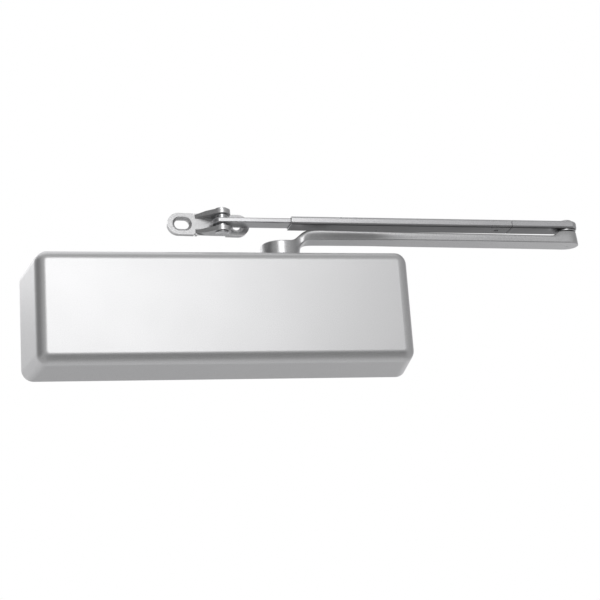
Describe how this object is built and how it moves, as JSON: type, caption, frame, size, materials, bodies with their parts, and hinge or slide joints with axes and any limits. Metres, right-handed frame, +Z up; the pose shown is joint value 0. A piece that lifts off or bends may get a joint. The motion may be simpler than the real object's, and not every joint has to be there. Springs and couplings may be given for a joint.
{
  "type": "door closer",
  "caption": "Surface-mounted rack-and-pinion door closer with a full cover, a regular folding arm with adjustable forearm, and a slotted frame shoe.",
  "frame": {"origin": "centre of the closer's flat back face, the face that lies on the door", "axes": "+X along the closer towards its elbow side, +Y through the back face into the door, +Z up, along the spindle"},
  "size_m": [0.4835, 0.06, 0.1384],
  "materials": {
    "cover": "satin aluminium lacquer",
    "casting": "grey primer on cast iron",
    "arm": "satin aluminium lacquer on forged steel",
    "bright_steel": "zinc plated or ground",
    "dark_steel": "oiled black oxide",
    "brass": "turned",
    "rubber": "moulded"
  },
  "bodies": {
    "closer": {"cover": "cover", "cover_screw_left": "bright_steel", "cover_screw_right": "bright_steel", "cover_post_right": "dark_steel", "cover_post_left": "dark_steel", "closer_body": "casting", "end_cap_left": "dark_steel", "end_cap_right": "dark_steel", "end_cap_seal_left": "rubber", "end_cap_seal_right": "rubber", "outer_spring": "bright_steel", "inner_spring": "bright_steel", "upper_bearing": "bright_steel", "lower_bearing": "bright_steel", "upper_seal": "rubber", "gland_nut": "bright_steel", "bottom_plug": "dark_steel"},
    "piston": {"rack_piston": "dark_steel", "piston_check_valve": "brass"},
    "power_adjustment": {"power_adjuster": "bright_steel"},
    "spring_plate": {"spring_seat": "dark_steel"},
    "sweep_regulator": {"sweep_valve": "brass"},
    "latch_regulator": {"latch_valve": "brass"},
    "backcheck_regulator": {"backcheck_valve": "brass"},
    "arm": {"pinion_shaft": "bright_steel", "main_arm": "arm", "arm_washer": "bright_steel", "arm_screw": "dark_steel", "elbow_pin": "bright_steel"},
    "forearm": {"elbow_end": "arm", "elbow_bush": "brass", "elbow_washer": "bright_steel", "forearm_tube": "arm", "tube_pin": "dark_steel"},
    "forearm_clamp": {"clamp_screw": "dark_steel"},
    "rod": {"forearm_rod": "arm"},
    "frame_shoe": {"shoe": "arm", "shoe_washer_upper": "bright_steel", "shoe_washer_lower": "bright_steel", "shoe_rivet": "arm"}
  },
  "joints": [
    {"name": "arm_swing", "type": "hinge", "parent": "closer", "child": "arm", "pos_m": [0.052, -0.03, 0.054], "axis": [0, 0, -1], "range_deg": [0, 180], "stiffness_Nm_per_rad": 8, "springref_deg": -85.94},
    {"name": "piston_slide", "type": "slide", "parent": "closer", "child": "piston", "axis": [-1, 0, 0], "range_m": [0, 0.032], "deforming": ["outer_spring", "inner_spring"]},
    {"name": "forearm_swing", "type": "hinge", "parent": "arm", "child": "forearm", "pos_m": [0.311, -0.03, 0.079], "axis": [0, 0, 1], "range_deg": [-160, 160]},
    {"name": "rod_slide", "type": "slide", "parent": "forearm", "child": "rod", "axis": [-0.9999, -0.0157, 0], "range_m": [-0.01, 0.06]},
    {"name": "shoe_swivel", "type": "hinge", "parent": "rod", "child": "frame_shoe", "pos_m": [0.00274, -0.03484, 0.08], "axis": [0, 0, 1], "range_deg": [-5, 150]},
    {"name": "clamp_screw_turn", "type": "hinge", "parent": "forearm", "child": "forearm_clamp", "pos_m": [0.09103, -0.03346, 0.0791], "axis": [-0.0157, 0.9999, 0], "range_deg": [-90, 630]},
    {"name": "power_adjuster_turn", "type": "hinge", "parent": "closer", "child": "power_adjustment", "pos_m": [-0.15, -0.03, 0], "axis": [-1, 0, 0], "range_deg": [0, 3601]},
    {"name": "spring_seat_slide", "type": "slide", "parent": "closer", "child": "spring_plate", "axis": [1, 0, 0], "range_m": [0, 0.015]},
    {"name": "sweep_valve_turn", "type": "hinge", "parent": "closer", "child": "sweep_regulator", "pos_m": [0.084, -0.006, -0.028], "axis": [0, 0, -1], "range_deg": [-90, 630]},
    {"name": "latch_valve_turn", "type": "hinge", "parent": "closer", "child": "latch_regulator", "pos_m": [0.098, -0.006, -0.028], "axis": [0, 0, -1], "range_deg": [-90, 630]},
    {"name": "backcheck_valve_turn", "type": "hinge", "parent": "closer", "child": "backcheck_regulator", "pos_m": [-0.024, -0.006, -0.028], "axis": [0, 0, -1], "range_deg": [-90, 630]}
  ],
  "couplings": [
    {"joint": "piston_slide", "follows": "arm_swing", "m_per_rad": 0.01},
    {"joint": "power_adjuster_turn", "follows": "spring_seat_slide", "rad_per_m": 4188.8}
  ]
}
